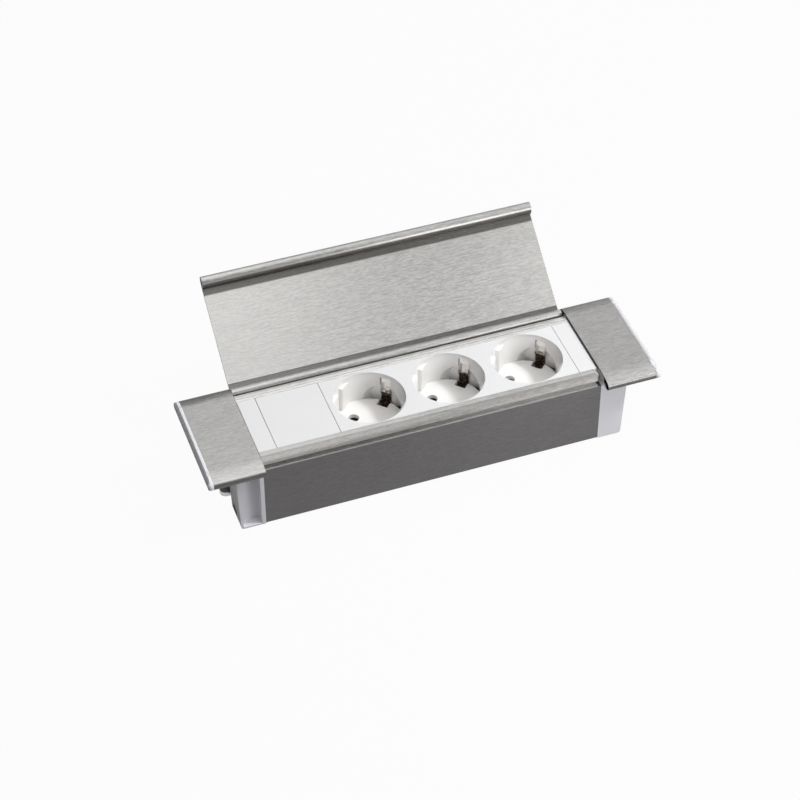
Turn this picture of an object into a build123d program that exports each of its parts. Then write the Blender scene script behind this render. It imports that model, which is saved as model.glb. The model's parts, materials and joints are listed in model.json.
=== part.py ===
"""Built-in worktop socket: a triple earthed socket block in an aluminium trough under a hinged lid.

Frame, in millimetres: X runs along the unit, Y from the front to the back, Z up. The origin is the
middle of the worktop opening, at the worktop's upper surface. The lid is drawn open, as it stands.
"""
from build123d import *
from math import asin, cos, degrees, radians, sin, sqrt
import os

# Driving dimensions: the deck
SOCKET_COUNT = 3
SOCKET_PITCH = 45.0
BLANK_WIDTH = 35.0
FILLER_WIDTH = 10.0
DECK_TOP = 4.7
PLATE_GAP = 0.3
PLATE_THICKNESS = 3.0
PLATE_SIDE_GAP = 0.15
FILLER_SKIRT = 3.0
BLANK_SKIRT = 6.0
SNAP_WIDTH = 4.0
SNAP_THICKNESS = 1.4
SNAP_OUT = 15.0
SNAP_IN_FROM_END = 5.0
SNAP_FOOT = -7.0

# Driving dimensions: clearances, and the overlap of pieces that become one
FIT_GAP = 0.1
SEAT_GAP = 0.2
RUNNING = 0.06
MOVING_GAP = 0.3
LAP = 0.1
PAST = 1.0

# Driving dimensions: the trough
BODY_DEPTH = 54.0
BODY_DROP = 41.2
WALL = 1.8
FLOOR = 1.8
WALL_TOP = -1.75
TROUGH_CORNER = 1.0
TUBE_FOOT = 3.4

# Driving dimensions: the rails on the trough's walls
RAIL_REACH = 6.9
RAIL_FLAT = 2.9
RAIL_FLANGE = 1.5
RAIL_EDGE_Z = 2.7
RAIL_NOSE = 0.7
RAIL_GROOVE = 2.1
RAIL_LIP = 0.85
RAIL_LIP_PROUD = 0.3
RAIL_WEB = 1.6
RAIL_WEB_FOOT = -8.0
RAIL_BULGE_OUT = 0.22
RAIL_BULGE_UP = 0.42
LEDGE_HEIGHT = 1.1
LEDGE_DEPTH = 1.9
FRONT_RAIL_SHORT = 2.3

# Driving dimensions: the rolled sheet of the lid and the covers
SHEET = 1.0
COVER_TOP = 6.0
NOSE_RADIUS = 2.4
FRONT_NOSE_OUT = 5.6
REAR_NOSE_OUT = 3.2
FRONT_CREASE_IN = 2.6
REAR_CREASE_IN = 3.1
RETURN_RADIUS = 4.2
REAR_CURL_END = 130.0
COVER_LENGTH = 28.0
COVER_GAP = 0.5
LID_GAP = 0.6
LID_OPEN = 142.0
RELIEF_DEPTH = 0.25
FRONT_RELIEF = 3.4
REAR_RELIEF = 2.9

# Driving dimensions: hinge pins
PIN_IN_LID = 14.0
PIN_IN_COVER = 12.0

# Driving dimensions: the covers' end trims
TRIM_LENGTH = 2.8
TRIM_EDGE = 0.5
TRIM_PLUG = 6.0
TRIM_TONGUE_HALF = 20.0
TRIM_TONGUE_LENGTH = 3.0
TRIM_TONGUE_THICKNESS = 1.4
TRIM_LAP = 0.5

# Driving dimensions: the frames under the covers
FRAME_SHELL = 1.5
FRAME_BAYS = 3
FRAME_EDGE_Z = 0.6
FRAME_FOOT_TOP = 0.8
FRAME_LEG_X = 5.0
FRAME_LEG_HALF = 3.0
FRAME_LEG_THICKNESS = 1.4
FRAME_LEG_DROP = 7.0
FRAME_LEG_GAP = 0.3
FRAME_LEG_ROOT = 2.0
FRAME_BARB = 0.6
SCREW_WINDOW = 0.8

# Driving dimensions: end caps
CAP_PLATE = 2.2
CAP_REACH_LOW = 13.6
CAP_REACH_HIGH = 15.2
CAP_WALL = 1.6
CAP_THIN_WALL = 1.3
CAP_FLOOR = 1.0
CAP_CORNER = 1.6
CAP_TOP_WEB = 1.5
CAP_HEAD_REST = 2.0
POCKET_DEPTH = 5.2
CHANNEL_WIDTH = 20.4
BRIDGE = 3.5
LOWER_BRIDGE = 1.7
LOWER_BRIDGE_HALF = 4.0
LOWER_BRIDGE_PAST = 2.2
UPPER_BRIDGE_PAST = 4.5
TONGUE_RIB = 1.0
TONGUE_RIB_REACH = 1.4

# Driving dimensions: cap screws and the tubes in the trough that take them
CAP_SCREW_Y = 16.0
CAP_SCREW_RADIUS = 1.55
CAP_SCREW_LENGTH = 14.0
SCREW_HEAD_RADIUS = 3.4
SCREW_HEAD_HEIGHT = 2.4
SCREW_SLOT_WIDTH = 0.9
SCREW_SLOT_HALF = 2.6
SCREW_SLOT_DEPTH = 1.0
SCREW_HOLE_GAP = 0.4
SCREW_BITE = 0.05
SCREW_TUBE_RADIUS = 3.1

# Driving dimensions: worktop clamps
CLAMP_X_FROM_BODY = 8.0
CLAMP_SCREW_RADIUS = 2.0
CLAMP_HEAD_RADIUS = 3.6
CLAMP_HEAD_HEIGHT = 2.6
CLAMP_HEAD_EDGE = 0.9
CLAMP_HEAD_LIFT = 0.05
CLAMP_FOOT = 0.6
CROSS_LENGTH = 4.6
CROSS_WIDTH = 0.9
CROSS_DEPTH = 1.3
CLAMP_REACH = 9.5
CLAW_WIDTH = 6.8
CLAW_THICKNESS = 2.0
CLAW_TOOTH = 0.8
CLAW_TOOTH_START = 5.6
CLAW_HUB_WALL = 1.3
NUT_SIDE = 8.0
NUT_CORNER = 0.8
NUT_HEIGHT = 4.5
NUT_COLLAR_RADIUS = 3.0
NUT_WASHER_RADIUS = 3.9
NUT_WASHER = 0.5
NUT_TONGUE = 3.0
NUT_TONGUE_GAP = 0.4

# Driving dimensions: one socket
WELL_RADIUS = 19.5
WELL_DEPTH = 19.1
WELL_FLOOR = 2.5
BLOCK_WALL = 1.5
PIN_SPACING = 19.0
PIN_HOLE_RADIUS = 2.9
EARTH_ANGLE = 45.0

# Driving dimensions: the two plug guides of a socket
GUIDE_FLAT = 17.1
GUIDE_GROOVE = 4.8
GUIDE_TOP = 1.2

# Driving dimensions: the arched recesses and the earth springs in them
ARCH_RADIUS = 12.0
ARCH_RISE = 0.6
ARCH_BACK = 20.9
ARCH_BACK_RADIUS = 9.2
CHANNEL_BACK = 21.3
FLOOR_RADIUS = 19.35
CHANNEL_SIDE = 0.4
CHANNEL_TOP = 1.6
NOTCH_RADIUS = 14.8
CLIP_WIDTH = 5.6
CLIP_SHEET = 0.5
CLIP_RADIUS = 20.6
CLIP_TOP_GAP = 0.4
CLIP_BUMP_RADIUS = 18.8
CLIP_BUMP_Z = -7.3
CLIP_BEND = 4.2
CLIP_SLIT = 1.9
CLIP_SLIT_BOTTOM = -6.7
CLIP_SLIT_TOP = -2.5

# Driving dimensions: carrier under the sockets and what it holds
CARRIER_FOOT_GAP = 0.4
CARRIER_MARGIN = 0.6
CARRIER_ROOF = 2.0
CARRIER_ROOM_HALF = 14.0
CARRIER_ROOM_IN = 12.5
CHAMBER_GAP = 0.4
FACE_ROOF = 2.0
SLEEVE_RADIUS = 3.1
SLEEVE_WALL = 0.7
SLEEVE_SEAT = 3.2
BAR_ROOM = 3.0
SLEEVE_BASE = 1.5
SLEEVE_SLOT = 0.8
SLEEVE_FOOT = 2.4  # unslotted length at a tube's foot
BAR_WIDTH = 6.0
BAR_SHEET = 0.8
BAR_MARGIN = 1.2
EARTH_BAR_PAST = 4.0

# Driving dimensions: power inlet in the rear wall
INLET_WIDTH = 27.0
INLET_HEIGHT = 16.0
INLET_DEPTH = 19.0
INLET_FLANGE = 3.0
INLET_CORNER = 2.5
INLET_ROOM_CORNER = 1.5
INLET_PIN_BACK = 3.0
INLET_PIN_INSET = 3.0
INLET_FLANGE_THICKNESS = 1.6
INLET_SHELL = 1.5
INLET_SOCKET_DEPTH = 15.0
INLET_PIN_RADIUS = 1.5
INLET_PIN_PITCH = 7.0

# Worked-out places
deck_length = SOCKET_COUNT * SOCKET_PITCH + BLANK_WIDTH + 2 * FILLER_WIDTH
body_end = deck_length / 2
block_x0 = -body_end + FILLER_WIDTH + BLANK_WIDTH
block_x1 = body_end - FILLER_WIDTH
socket_x = [block_x0 + SOCKET_PITCH * (i + 0.5) for i in range(SOCKET_COUNT)]
body_half = BODY_DEPTH / 2
body_bottom = -BODY_DROP
front_nose_y = -body_half - FRONT_NOSE_OUT
rear_nose_y = body_half + REAR_NOSE_OUT
front_crease_y = -body_half + FRONT_CREASE_IN
rear_crease_y = body_half - REAR_CREASE_IN
rail_inner = body_half - RAIL_REACH
rail_web_outer = body_half - WALL - FIT_GAP
rail_web_inner = rail_web_outer - RAIL_WEB
shoulder_half = rail_web_inner - SEAT_GAP
shoulder_top = DECK_TOP - RAIL_FLANGE - SEAT_GAP
plate_half = rail_inner - PLATE_SIDE_GAP
cover_x0 = body_end + COVER_GAP
cover_x1 = cover_x0 + COVER_LENGTH
trim_x1 = cover_x1 + TRIM_LENGTH
lid_half = cover_x0 - LID_GAP
hinge_y = rear_nose_y
hinge_z = NOSE_RADIUS
curl_inner = NOSE_RADIUS - SHEET
pin_radius = curl_inner - RUNNING
well_floor_z = DECK_TOP - WELL_DEPTH
face_bottom = well_floor_z - WELL_FLOOR
tube_z = body_bottom + FLOOR + SCREW_TUBE_RADIUS
tube_top = tube_z + SCREW_TUBE_RADIUS
carrier_top = face_bottom - FIT_GAP
strap_top = carrier_top - FIT_GAP
strap_bottom = strap_top - CLIP_SHEET
carrier_bottom = tube_top + CARRIER_FOOT_GAP
sleeve_top = carrier_top - SLEEVE_SEAT
bar_top = carrier_bottom + BAR_ROOM
sleeve_length = sleeve_top - bar_top
clamp_x = body_end + CLAMP_X_FROM_BODY
channel_half = CHANNEL_WIDTH / 2
bridge_bottom = WALL_TOP - BRIDGE
lower_bridge_top = body_bottom + LOWER_BRIDGE
nut_bottom = lower_bridge_top + MOVING_GAP
claw_bottom = nut_bottom + NUT_WASHER + FIT_GAP
claw_top = claw_bottom + CLAW_THICKNESS
nut_block_bottom = claw_top + FIT_GAP
nut_block_top = nut_block_bottom + NUT_HEIGHT
inlet_x = -body_end + FILLER_WIDTH + BLANK_WIDTH / 2
ledge_bottom = RAIL_WEB_FOOT - LEDGE_HEIGHT
inlet_z = (ledge_bottom + tube_top) / 2


# Helpers
def block(x0, x1, y0, y1, z0, z1):
    """A box between six planes."""
    return Pos((x0 + x1) / 2, (y0 + y1) / 2, (z0 + z1) / 2) * Box(x1 - x0, y1 - y0, z1 - z0)


def post(radius, x, y, z0, z1):
    """An upright cylinder."""
    return Pos(x, y, (z0 + z1) / 2) * Cylinder(radius, z1 - z0)


def rod_x(radius, x0, x1, y, z):
    """A cylinder along X."""
    return Pos((x0 + x1) / 2, y, z) * Rot(0, 90, 0) * Cylinder(radius, x1 - x0)


def rod_y(radius, x, y0, y1, z):
    """A cylinder along Y."""
    return Pos(x, (y0 + y1) / 2, z) * Rot(90, 0, 0) * Cylinder(radius, y1 - y0)


def along_x(face, x0, x1):
    """Pushes a face drawn in Y and Z along X."""
    return Pos(x0, 0, 0) * extrude(Plane.YZ * face, x1 - x0)


def along_y(face, y0, y1):
    """Pushes a face drawn in X and Z along Y."""
    return Pos(0, y1, 0) * extrude(Plane.XZ * face, y1 - y0)


def polygon(*points):
    """A flat face with straight edges through the points."""
    return make_face(Polyline(*points, close=True))


def arc(centre, radius, start, end):
    """An arc given by two angles in degrees."""
    middle = (start + end) / 2
    ends = [
        (centre[0] + radius * cos(radians(a)), centre[1] + radius * sin(radians(a)))
        for a in (start, middle, end)
    ]
    return ThreePointArc(*ends)


def turned(shape):
    """The same piece at the other end, turned half a turn about Z."""
    return Rot(0, 0, 180) * shape


def mirrored(shape):
    """The matching piece at the other end, mirrored in X."""
    return mirror(shape, about=Plane.YZ)


# The rolled sheet
def crown(nose_y, crease_y):
    """Radius and end angle of the arc that leads from the flat to a rolled edge."""
    run = abs(nose_y - crease_y)
    drop = COVER_TOP - 2 * NOSE_RADIUS
    reach = (run * run + drop * drop) / (2 * drop)
    return reach + NOSE_RADIUS, degrees(asin(run / reach))


front_crown, front_slope = crown(front_nose_y, front_crease_y)
rear_crown, rear_slope = crown(rear_nose_y, rear_crease_y)


def crown_edges(inset):
    """The sheet's top line between its two rolled edges, moved inwards by inset."""
    front = arc((front_crease_y, COVER_TOP - front_crown), front_crown - inset, 90 + front_slope, 90)
    flat = Line((front_crease_y, COVER_TOP - inset), (rear_crease_y, COVER_TOP - inset))
    rear = arc((rear_crease_y, COVER_TOP - rear_crown), rear_crown - inset, 90, 90 - rear_slope)
    return [front, flat, rear]


def rolled_edges(inset):
    """The front and rear rolls, moved inwards by inset."""
    front_return = arc((front_nose_y, RETURN_RADIUS), RETURN_RADIUS - inset, 0, -90)
    front_nose = arc((front_nose_y, NOSE_RADIUS), NOSE_RADIUS - inset, -90, -270 + front_slope)
    rear_nose = arc((rear_nose_y, NOSE_RADIUS), NOSE_RADIUS - inset, 90 - rear_slope, -90)
    rear_return = arc((rear_nose_y, NOSE_RADIUS), NOSE_RADIUS - inset, -90, REAR_CURL_END - 360)
    return [front_return, front_nose], [rear_nose, rear_return]


def sheet_face():
    """The section of the rolled sheet."""
    edges = []
    for inset in (0, SHEET):
        front, rear = rolled_edges(inset)
        edges += front + crown_edges(inset) + rear
    front_end = (front_nose_y + RETURN_RADIUS, RETURN_RADIUS)
    front_inner = (front_nose_y + RETURN_RADIUS - SHEET, RETURN_RADIUS)
    end_angle = radians(REAR_CURL_END)
    rear_end = (rear_nose_y + NOSE_RADIUS * cos(end_angle), NOSE_RADIUS + NOSE_RADIUS * sin(end_angle))
    rear_inner = (rear_nose_y + curl_inner * cos(end_angle), NOSE_RADIUS + curl_inner * sin(end_angle))
    edges += [Line(front_end, front_inner), Line(rear_end, rear_inner)]
    return make_face(Curve() + edges)


def end_face():
    """The outline that closes the rolled sheet at its outer end."""
    front = arc((front_nose_y, NOSE_RADIUS), NOSE_RADIUS, -90, -270 + front_slope)
    rear = arc((rear_nose_y, NOSE_RADIUS), NOSE_RADIUS, 90 - rear_slope, -90)
    foot = Line((rear_nose_y, 0), (front_nose_y, 0))
    return make_face(Curve() + [front] + crown_edges(0) + [rear, foot])


def under_sheet(clearance, y0, y1, z0):
    """The space under the sheet between two Y limits, down to z0."""
    edges = crown_edges(SHEET + clearance)
    start = edges[0] @ 0
    end = edges[2] @ 1
    low = z0 - 1
    sides = [
        Line((start.X, start.Y), (start.X, low)),
        Line((start.X, low), (end.X, low)),
        Line((end.X, low), (end.X, end.Y)),
    ]
    window = Pos((y0 + y1) / 2, (z0 + COVER_TOP + 1) / 2) * Rectangle(y1 - y0, COVER_TOP + 1 - z0)
    return make_face(Curve() + edges + sides) & window


def opened(shape):
    """Swings a piece of the closed lid back about the hinge line."""
    return Pos(0, hinge_y, hinge_z) * Rot(-LID_OPEN, 0, 0) * Pos(0, -hinge_y, -hinge_z) * shape


def lid():
    """The hinged lid, in its open place, with a shallow step beside each roll in its inner face."""
    front_roll = front_nose_y + RETURN_RADIUS
    rear_roll = rear_nose_y - NOSE_RADIUS
    section = sheet_face()
    section -= under_sheet(-RELIEF_DEPTH, front_roll, front_roll + FRONT_RELIEF, NOSE_RADIUS + PAST)
    section -= under_sheet(-RELIEF_DEPTH, rear_roll - REAR_RELIEF, rear_roll, NOSE_RADIUS + PAST)
    return opened(along_x(section, -lid_half, lid_half))


def cover():
    """The fixed metal skin at the right end."""
    return along_x(sheet_face(), cover_x0, cover_x1)


def hinge_pin():
    """The right hinge pin, held in the cover's rear roll and turning in the lid's."""
    return rod_x(pin_radius, lid_half - PIN_IN_LID, cover_x0 + PIN_IN_COVER, hinge_y, hinge_z)


def cover_trim():
    """The moulded end piece that closes the right cover, with a plug in each roll."""
    plate = along_x(end_face(), cover_x1, trim_x1)
    outer = plate.faces().sort_by(Axis.X)[-1].edges()
    plate = chamfer(outer, TRIM_EDGE)
    for y in (front_nose_y, rear_nose_y):
        plate += rod_x(curl_inner - FIT_GAP, cover_x1 - TRIM_PLUG, cover_x1 + TRIM_LAP, y, NOSE_RADIUS)
    tongue = under_sheet(FIT_GAP, -TRIM_TONGUE_HALF, TRIM_TONGUE_HALF,
                         COVER_TOP - SHEET - TRIM_TONGUE_THICKNESS)
    return plate + along_x(tongue, cover_x1 - TRIM_TONGUE_LENGTH, cover_x1 + TRIM_LAP)


def cover_frame():
    """The moulded frame under the right cover that carries it on the end cap."""
    front = front_nose_y + RETURN_RADIUS + MOVING_GAP
    rear = rear_nose_y - NOSE_RADIUS - MOVING_GAP
    x0 = cover_x0 + FIT_GAP
    x1 = cover_x1 - TRIM_TONGUE_LENGTH - MOVING_GAP
    shell = FRAME_SHELL
    cap_half = body_half - FIT_GAP
    cap_x1 = body_end + CAP_REACH_HIGH - SEAT_GAP
    frame = along_x(under_sheet(FIT_GAP, front, rear, FRAME_EDGE_Z), x0, x1)
    frame += block(x0, cap_x1, -cap_half, cap_half, WALL_TOP, FRAME_FOOT_TOP)
    bay_low = WALL_TOP - PAST
    inner = under_sheet(FIT_GAP + shell, front + shell, rear - shell, bay_low)
    bay = (x1 - x0 - shell * (FRAME_BAYS + 1)) / FRAME_BAYS
    for i in range(FRAME_BAYS):
        bay_x0 = x0 + shell + i * (bay + shell)
        bay_x1 = bay_x0 + bay
        bay_box = block(bay_x0, bay_x1, -cap_half + shell, rear - shell, bay_low, COVER_TOP)
        frame -= along_x(inner, bay_x0, bay_x1) & bay_box
    frame -= post(CLAMP_HEAD_RADIUS + SCREW_WINDOW, clamp_x, 0, WALL_TOP, COVER_TOP)
    for side in (-1, 1):
        half = FRAME_LEG_THICKNESS / 2
        leg_y = side * (channel_half + CAP_WALL + FRAME_LEG_GAP + half)
        leg_x = body_end + CAP_PLATE + FRAME_LEG_X
        leg = block(leg_x - FRAME_LEG_HALF, leg_x + FRAME_LEG_HALF, leg_y - half, leg_y + half,
                    WALL_TOP - FRAME_LEG_DROP, WALL_TOP + FRAME_LEG_ROOT)
        barb_z = WALL_TOP - FRAME_LEG_DROP + FRAME_BARB
        barb = rod_x(FRAME_BARB, leg_x - FRAME_LEG_HALF, leg_x + FRAME_LEG_HALF, leg_y + side * half, barb_z)
        frame += leg + barb
    return frame


# The trough and its rails
def body_trough():
    """The extruded trough with two screw tubes along its floor."""
    outer = Pos(0, (WALL_TOP + body_bottom) / 2) * Rectangle(BODY_DEPTH, WALL_TOP - body_bottom)
    low = outer.vertices().group_by(Axis.Y)[0]
    outer = fillet(low, TROUGH_CORNER)
    room_height = WALL_TOP - body_bottom - FLOOR
    room = Pos(0, body_bottom + FLOOR + room_height / 2) * Rectangle(BODY_DEPTH - 2 * WALL, room_height)
    section = outer - room
    for side in (-1, 1):
        centre = Pos(side * CAP_SCREW_Y, tube_z)
        foot = Rectangle(TUBE_FOOT, SCREW_TUBE_RADIUS)
        foot = Pos(side * CAP_SCREW_Y, tube_z - SCREW_TUBE_RADIUS / 2) * foot
        section += centre * Circle(SCREW_TUBE_RADIUS) + foot
        section -= centre * Circle(CAP_SCREW_RADIUS + SCREW_BITE)
        ledge_y = body_half - WALL + LAP - LEDGE_DEPTH / 2
        ledge_z = (ledge_bottom + RAIL_WEB_FOOT - FIT_GAP) / 2
        section += Pos(side * ledge_y, ledge_z) * Rectangle(LEDGE_DEPTH, LEDGE_HEIGHT - FIT_GAP)
    trough = along_x(section, -body_end, body_end)
    half_x = INLET_WIDTH / 2 + SEAT_GAP
    half_z = INLET_HEIGHT / 2 + SEAT_GAP
    window = block(inlet_x - half_x, inlet_x + half_x, body_half - WALL - PAST, body_half + PAST,
                   inlet_z - half_z, inlet_z + half_z)
    return trough - window


def rail(x0, x1):
    """The rear rail: a flange over the deck's edge, a groove, and a lip on the wall's top."""
    flat_end = rail_inner + RAIL_FLAT
    lip_y = body_half + RAIL_LIP_PROUD
    groove_y = body_half - RAIL_GROOVE
    groove_top = RAIL_EDGE_Z - RAIL_NOSE
    lip_top = WALL_TOP + RAIL_LIP
    bulge = ((flat_end + body_half) / 2 + RAIL_BULGE_OUT, (DECK_TOP + RAIL_EDGE_Z) / 2 + RAIL_BULGE_UP)
    slope = ThreePointArc((flat_end, DECK_TOP), bulge, (body_half, RAIL_EDGE_Z))
    rest = Polyline(
        (body_half, RAIL_EDGE_Z), (body_half, groove_top), (groove_y, groove_top), (groove_y, lip_top),
        (lip_y, lip_top), (lip_y, WALL_TOP), (rail_web_outer, WALL_TOP), (rail_web_outer, RAIL_WEB_FOOT),
        (rail_web_inner, RAIL_WEB_FOOT), (rail_web_inner, DECK_TOP - RAIL_FLANGE),
        (rail_inner, DECK_TOP - RAIL_FLANGE), (rail_inner, DECK_TOP), (flat_end, DECK_TOP),
    )
    return along_x(make_face(Curve() + [slope] + rest.edges()), x0, x1)


# The deck's plates
def plate(x0, x1, depth_below):
    """A deck plate held under the rails' flanges, with a rim of that depth below."""
    top = block(x0, x1, -plate_half, plate_half, shoulder_top - LAP, DECK_TOP)
    skirt = block(x0, x1, -shoulder_half, shoulder_half, shoulder_top - depth_below, shoulder_top)
    shell = BLOCK_WALL
    inside = block(x0 + shell, x1 - shell, -shoulder_half + shell, shoulder_half - shell,
                   shoulder_top - depth_below, DECK_TOP - PLATE_THICKNESS)
    return top + skirt - inside


def blank_plate():
    """The blank module with two snap legs."""
    x0 = -body_end + FILLER_WIDTH + PLATE_GAP / 2
    x1 = block_x0 - PLATE_GAP / 2
    module = plate(x0, x1, BLANK_SKIRT)
    half = SNAP_WIDTH / 2
    for x in (x0 + SNAP_IN_FROM_END, x1 - SNAP_IN_FROM_END):
        for y in (-SNAP_OUT, SNAP_OUT - SNAP_THICKNESS):
            module += block(x - half, x + half, y, y + SNAP_THICKNESS, SNAP_FOOT, DECK_TOP - PAST)
    return module


# The triple socket
def radial(shape, x, angle):
    """Places a piece drawn along +X from the well's axis at an angle round a well."""
    return Pos(x, 0, 0) * Rot(0, 0, angle) * shape


def well_room():
    """The room of one well, with its two flat plug guides left standing, each split by a groove."""
    room = post(WELL_RADIUS, 0, 0, well_floor_z, DECK_TOP + PAST)
    reach = WELL_RADIUS + PAST
    half = GUIDE_GROOVE / 2
    guide = block(GUIDE_FLAT, reach, -reach, reach, well_floor_z - PAST, GUIDE_TOP)
    guide -= block(GUIDE_FLAT - PAST, reach + PAST, -half, half, well_floor_z - PAST, GUIDE_TOP + PAST)
    for side in (90, 270):
        room -= radial(guide, 0, EARTH_ANGLE + side)
    return room


def spring_recess():
    """The arched recess behind one earth spring, its channel above and its notch in the floor."""
    mouth = sqrt(WELL_RADIUS ** 2 - ARCH_RADIUS ** 2)
    depth = ARCH_BACK - mouth
    cone = Cone(ARCH_RADIUS, ARCH_BACK_RADIUS, depth)
    arch = Pos(mouth + depth / 2, 0, well_floor_z + ARCH_RISE) * Rot(0, 90, 0) * cone
    arch &= block(0, ARCH_BACK, -ARCH_RADIUS, ARCH_RADIUS, face_bottom - PAST, DECK_TOP)
    arch -= post(FLOOR_RADIUS, 0, 0, face_bottom - 2 * PAST, well_floor_z)
    half = CLIP_WIDTH / 2 + CHANNEL_SIDE
    channel = block(WELL_RADIUS - PAST, CHANNEL_BACK, -half, half, well_floor_z, CHANNEL_TOP)
    notch = block(NOTCH_RADIUS, CHANNEL_BACK, -half, half, face_bottom - PAST, well_floor_z + PAST)
    return arch + channel + notch


def pin_hole():
    """One pin hole through a well's floor."""
    return post(PIN_HOLE_RADIUS, PIN_SPACING / 2, 0, face_bottom - PAST, well_floor_z + PAST)


def socket_face():
    """The moulding with the three wells."""
    x0 = block_x0 + PLATE_GAP / 2
    x1 = block_x1 - PLATE_GAP / 2
    shell = BLOCK_WALL
    face = block(x0, x1, -plate_half, plate_half, shoulder_top - LAP, DECK_TOP)
    cup_room = block(x0, x1, -shoulder_half, shoulder_half, face_bottom, shoulder_top)
    face += cup_room
    face -= block(x0 + shell, x1 - shell, -shoulder_half + shell, shoulder_half - shell,
                  face_bottom, shoulder_top - FACE_ROOF)
    surround = block(WELL_RADIUS - ARCH_RADIUS / 2, CHANNEL_BACK + shell, -ARCH_RADIUS, ARCH_RADIUS,
                     face_bottom, shoulder_top - LAP)
    for x in socket_x:
        cup = post(WELL_RADIUS + shell, x, 0, face_bottom, shoulder_top)
        cup += radial(surround, x, EARTH_ANGLE) + radial(surround, x, EARTH_ANGLE + 180)
        face += cup & cup_room
    for x in socket_x:
        face -= Pos(x, 0, 0) * well_room()
        for side in (0, 180):
            face -= radial(spring_recess(), x, EARTH_ANGLE + side)
            face -= radial(pin_hole(), x, EARTH_ANGLE + 90 + side)
    return face


def earth_clip(x):
    """A sprung earth strap: two slit springs up the well's wall, joined under its floor."""
    half = CLIP_SHEET / 2
    under = (strap_top + strap_bottom) / 2
    rise = [
        (CLIP_RADIUS, under), (CLIP_RADIUS, CLIP_BUMP_Z - CLIP_BEND), (CLIP_BUMP_RADIUS, CLIP_BUMP_Z),
        (CLIP_RADIUS, CLIP_BUMP_Z + CLIP_BEND), (CLIP_RADIUS, CHANNEL_TOP - CLIP_TOP_GAP),
    ]
    outer = [(r + half, z) for r, z in rise[1:]]
    inner = [(r - half, z) for r, z in rise[1:]]
    strip = polygon((0, strap_bottom), (CLIP_RADIUS + half, strap_bottom), *outer, *reversed(inner),
                    (CLIP_RADIUS - half, strap_top), (0, strap_top))
    arm = along_y(strip, -CLIP_WIDTH / 2, CLIP_WIDTH / 2)
    edge = CLIP_WIDTH / 2
    arm -= block(CLIP_BUMP_RADIUS - PAST, CLIP_RADIUS + PAST, edge - CLIP_SLIT, edge + PAST,
                 CLIP_SLIT_BOTTOM, CLIP_SLIT_TOP)
    strap = arm + Rot(0, 0, 180) * arm
    return radial(strap, x, EARTH_ANGLE)


def pin_places(x):
    """The two pin centres of one socket: first the rear one, then the front one."""
    angle = radians(EARTH_ANGLE + 90)
    step_x = PIN_SPACING / 2 * cos(angle)
    step_y = PIN_SPACING / 2 * sin(angle)
    return (x + step_x, step_y), (x - step_x, -step_y)


def contact(x, y):
    """A slotted contact tube for one plug pin."""
    tube = post(SLEEVE_RADIUS, x, y, bar_top, sleeve_top)
    tube -= post(SLEEVE_RADIUS - SLEEVE_WALL, x, y, bar_top + SLEEVE_BASE, sleeve_top)
    slot_z = bar_top + SLEEVE_FOOT
    tube -= block(x - SLEEVE_RADIUS, x + SLEEVE_RADIUS, y - SLEEVE_SLOT / 2, y + SLEEVE_SLOT / 2,
                  slot_z, sleeve_top)
    return tube


def power_bar(y):
    """A bus bar that joins the contacts on one side."""
    last = socket_x[-1] + PIN_SPACING / 2
    return block(block_x0 + BAR_MARGIN, last, y - BAR_WIDTH / 2, y + BAR_WIDTH / 2,
                 bar_top - BAR_SHEET, bar_top)


def earth_bar():
    """The bar that joins the three earth straps."""
    return block(block_x0 + BAR_MARGIN, socket_x[-1] + EARTH_BAR_PAST, -BAR_WIDTH / 2, BAR_WIDTH / 2,
                 strap_bottom - BAR_SHEET, strap_bottom)


def socket_carrier():
    """The moulding under the sockets with a chamber for each contact."""
    x0 = block_x0 + CARRIER_MARGIN
    x1 = block_x1 - CARRIER_MARGIN
    half = shoulder_half - SEAT_GAP
    bar_half = BAR_WIDTH / 2 + SEAT_GAP
    carrier = block(x0, x1, -half, half, carrier_bottom, carrier_top)
    rear_y = pin_places(0)[0][1]
    strap_reach = CLIP_RADIUS + CLIP_SHEET + MOVING_GAP
    strap_half = CLIP_WIDTH / 2 + MOVING_GAP
    strap_room = block(-strap_reach, strap_reach, -strap_half, strap_half, strap_bottom, carrier_top)
    for x in socket_x:
        for place_x, place_y in pin_places(x):
            carrier -= post(SLEEVE_RADIUS + CHAMBER_GAP, place_x, place_y, bar_top, carrier_top)
        carrier -= radial(strap_room, x, EARTH_ANGLE)
    for side in (-1, 1):
        y = side * rear_y
        carrier -= block(x0, x1, y - bar_half, y + bar_half, carrier_bottom, bar_top)
        for x in socket_x:
            room = block(x - CARRIER_ROOM_HALF, x + CARRIER_ROOM_HALF, CARRIER_ROOM_IN, half - BLOCK_WALL,
                         carrier_bottom, carrier_top - CARRIER_ROOF)
            carrier -= room if side > 0 else mirror(room, about=Plane.XZ)
    carrier -= block(x0, x1, -bar_half, bar_half, strap_bottom - BAR_SHEET, carrier_top)
    return carrier


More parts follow.
